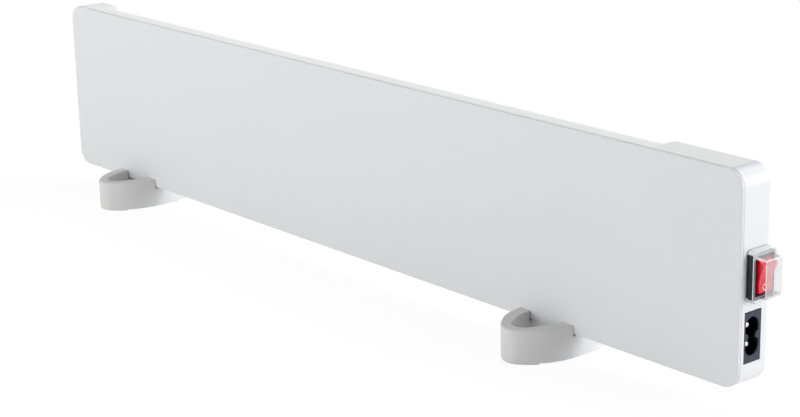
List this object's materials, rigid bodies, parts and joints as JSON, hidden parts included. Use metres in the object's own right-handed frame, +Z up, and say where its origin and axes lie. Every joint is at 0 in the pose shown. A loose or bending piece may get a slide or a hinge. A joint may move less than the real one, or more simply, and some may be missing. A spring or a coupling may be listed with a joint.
{
  "type": "infrared panel heater",
  "caption": "Slim flat infrared panel heater standing on two ring-shaped slip-on feet, with a covered rocker switch and a two-pin mains inlet in one end wall.",
  "frame": {"origin": "on the floor plane, under the middle of the heater's bounding box", "axes": "+X along the panel towards the end with the switch and the inlet, +Y to the back, +Z up"},
  "size_m": [0.5292, 0.061, 0.1083],
  "materials": {
    "coated_plate": "satin",
    "seal": "matte",
    "film": "satin",
    "copper": "satin",
    "coated_channel": "satin",
    "insulation": "matte",
    "foil": "gloss",
    "white_casing": "satin",
    "screw_steel": "satin",
    "black_plastic": "satin",
    "slate_plastic": "satin",
    "red_plastic": "gloss",
    "spring_steel": "satin",
    "clear_cover": "gloss",
    "plated_brass": "satin",
    "receptacle_nylon": "satin",
    "cutout_black": "satin",
    "solder": "satin",
    "brown_lead": "satin",
    "blue_lead": "satin",
    "grey_foot": "matte"
  },
  "bodies": {
    "heater": {"front_plate": "coated_plate", "edge_seal": "seal", "heating_film": "film", "film_bus_bars": "copper", "middle_channel": "coated_channel", "insulation_board": "insulation", "reflector_foil": "foil", "left_end_housing": "white_casing", "right_end_housing": "white_casing", "channel_screws": "screw_steel", "switch_housing": "black_plastic", "switch_terminals": "plated_brass", "splash_cover": "clear_cover", "inlet_body": "slate_plastic", "inlet_pins": "plated_brass", "lead_receptacles": "receptacle_nylon", "thermal_cutout": "cutout_black", "cutout_clip": "spring_steel", "solder_joints": "solder", "lead_live_in": "brown_lead", "lead_live_switched": "brown_lead", "lead_live_film": "brown_lead", "lead_neutral": "blue_lead"},
    "rocker": {"rocker": "red_plastic", "rocker_plunger": "plated_brass", "plunger_spring": "spring_steel"},
    "contact_arm": {"contact_arm": "copper"},
    "left_foot": {"left_foot": "grey_foot"},
    "right_foot": {"right_foot": "grey_foot"}
  },
  "joints": [
    {"name": "rocker_pivot", "type": "hinge", "parent": "heater", "child": "rocker", "pos_m": [0.25655, 0.0055, 0.0625], "axis": [0, -1, 0], "range_deg": [0, 22]},
    {"name": "contact_arm_pivot", "type": "hinge", "parent": "heater", "child": "contact_arm", "pos_m": [0.24885, 0.0055, 0.0625], "axis": [0, -1, 0], "range_deg": [-16, 0]},
    {"name": "left_foot_slide", "type": "slide", "parent": "heater", "child": "left_foot", "axis": [1, 0, 0], "range_m": [-0.022, 0.15]},
    {"name": "right_foot_slide", "type": "slide", "parent": "heater", "child": "right_foot", "axis": [1, 0, 0], "range_m": [-0.15, 0.043]}
  ],
  "couplings": [
    {"joint": "contact_arm_pivot", "follows": "rocker_pivot", "ratio": -0.7272}
  ]
}
